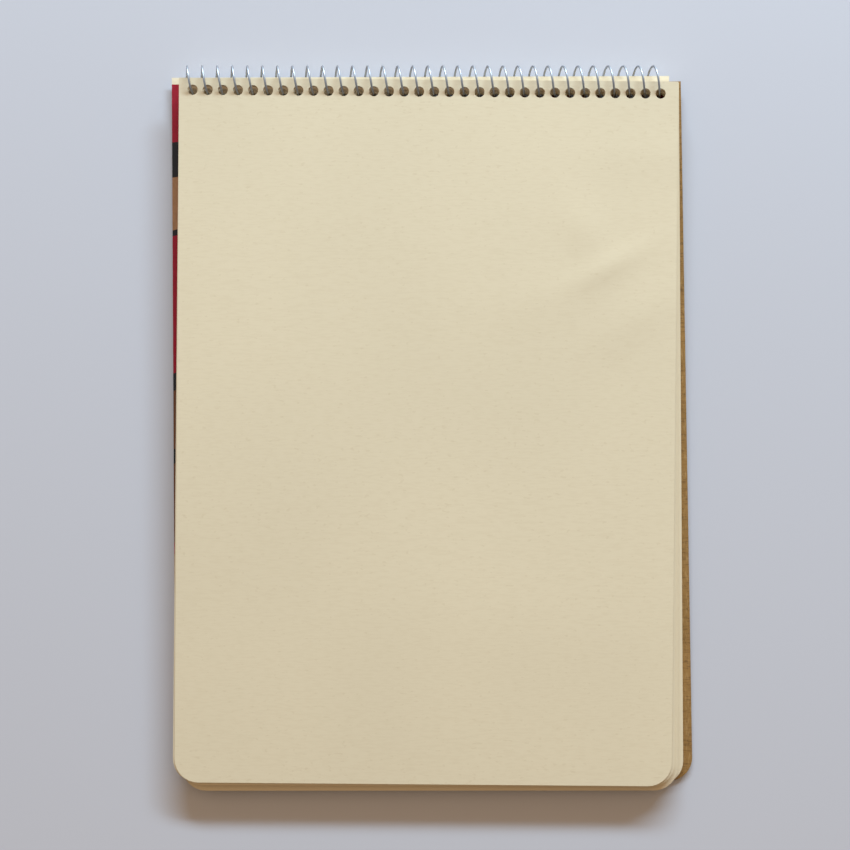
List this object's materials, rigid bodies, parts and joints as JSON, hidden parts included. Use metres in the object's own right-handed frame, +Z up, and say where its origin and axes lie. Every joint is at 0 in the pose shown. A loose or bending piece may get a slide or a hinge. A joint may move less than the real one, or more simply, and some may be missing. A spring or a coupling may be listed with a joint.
{
  "type": "spiral notebook",
  "caption": "Top-bound wire coil pad of cream drawing paper, lying open with its printed front cover folded flat behind the back board.",
  "frame": {"origin": "on the table plane, under the middle of the whole pad's outline", "axes": "X along the coil, +Y from the foot of the pad to the coil, +Z up out of the top sheet"},
  "size_m": [0.222, 0.3076, 0.0134],
  "materials": {
    "drawing_paper": "uncoated cream drawing paper with a fine laid grain",
    "grey_brown_board": "plain brown chipboard",
    "printed_card": "smooth printed card, dark red, black and tan",
    "coil_wire": "plated round wire with faint draw marks along it"
  },
  "bodies": {
    "pages": {"page_block": "drawing_paper", "spiral_wire": "coil_wire"},
    "board": {"back_board": "grey_brown_board"},
    "cover": {"front_cover": "printed_card"}
  },
  "joints": [
    {"name": "back_board_hinge", "type": "hinge", "parent": "pages", "child": "board", "pos_m": [0, 0.14708, 0.00668], "axis": [1, 0, 0], "range_deg": [0, 30]},
    {"name": "front_cover_hinge", "type": "hinge", "parent": "board", "child": "cover", "pos_m": [0, 0.14708, 0.00668], "axis": [1, 0, 0], "range_deg": [0, 130]}
  ]
}
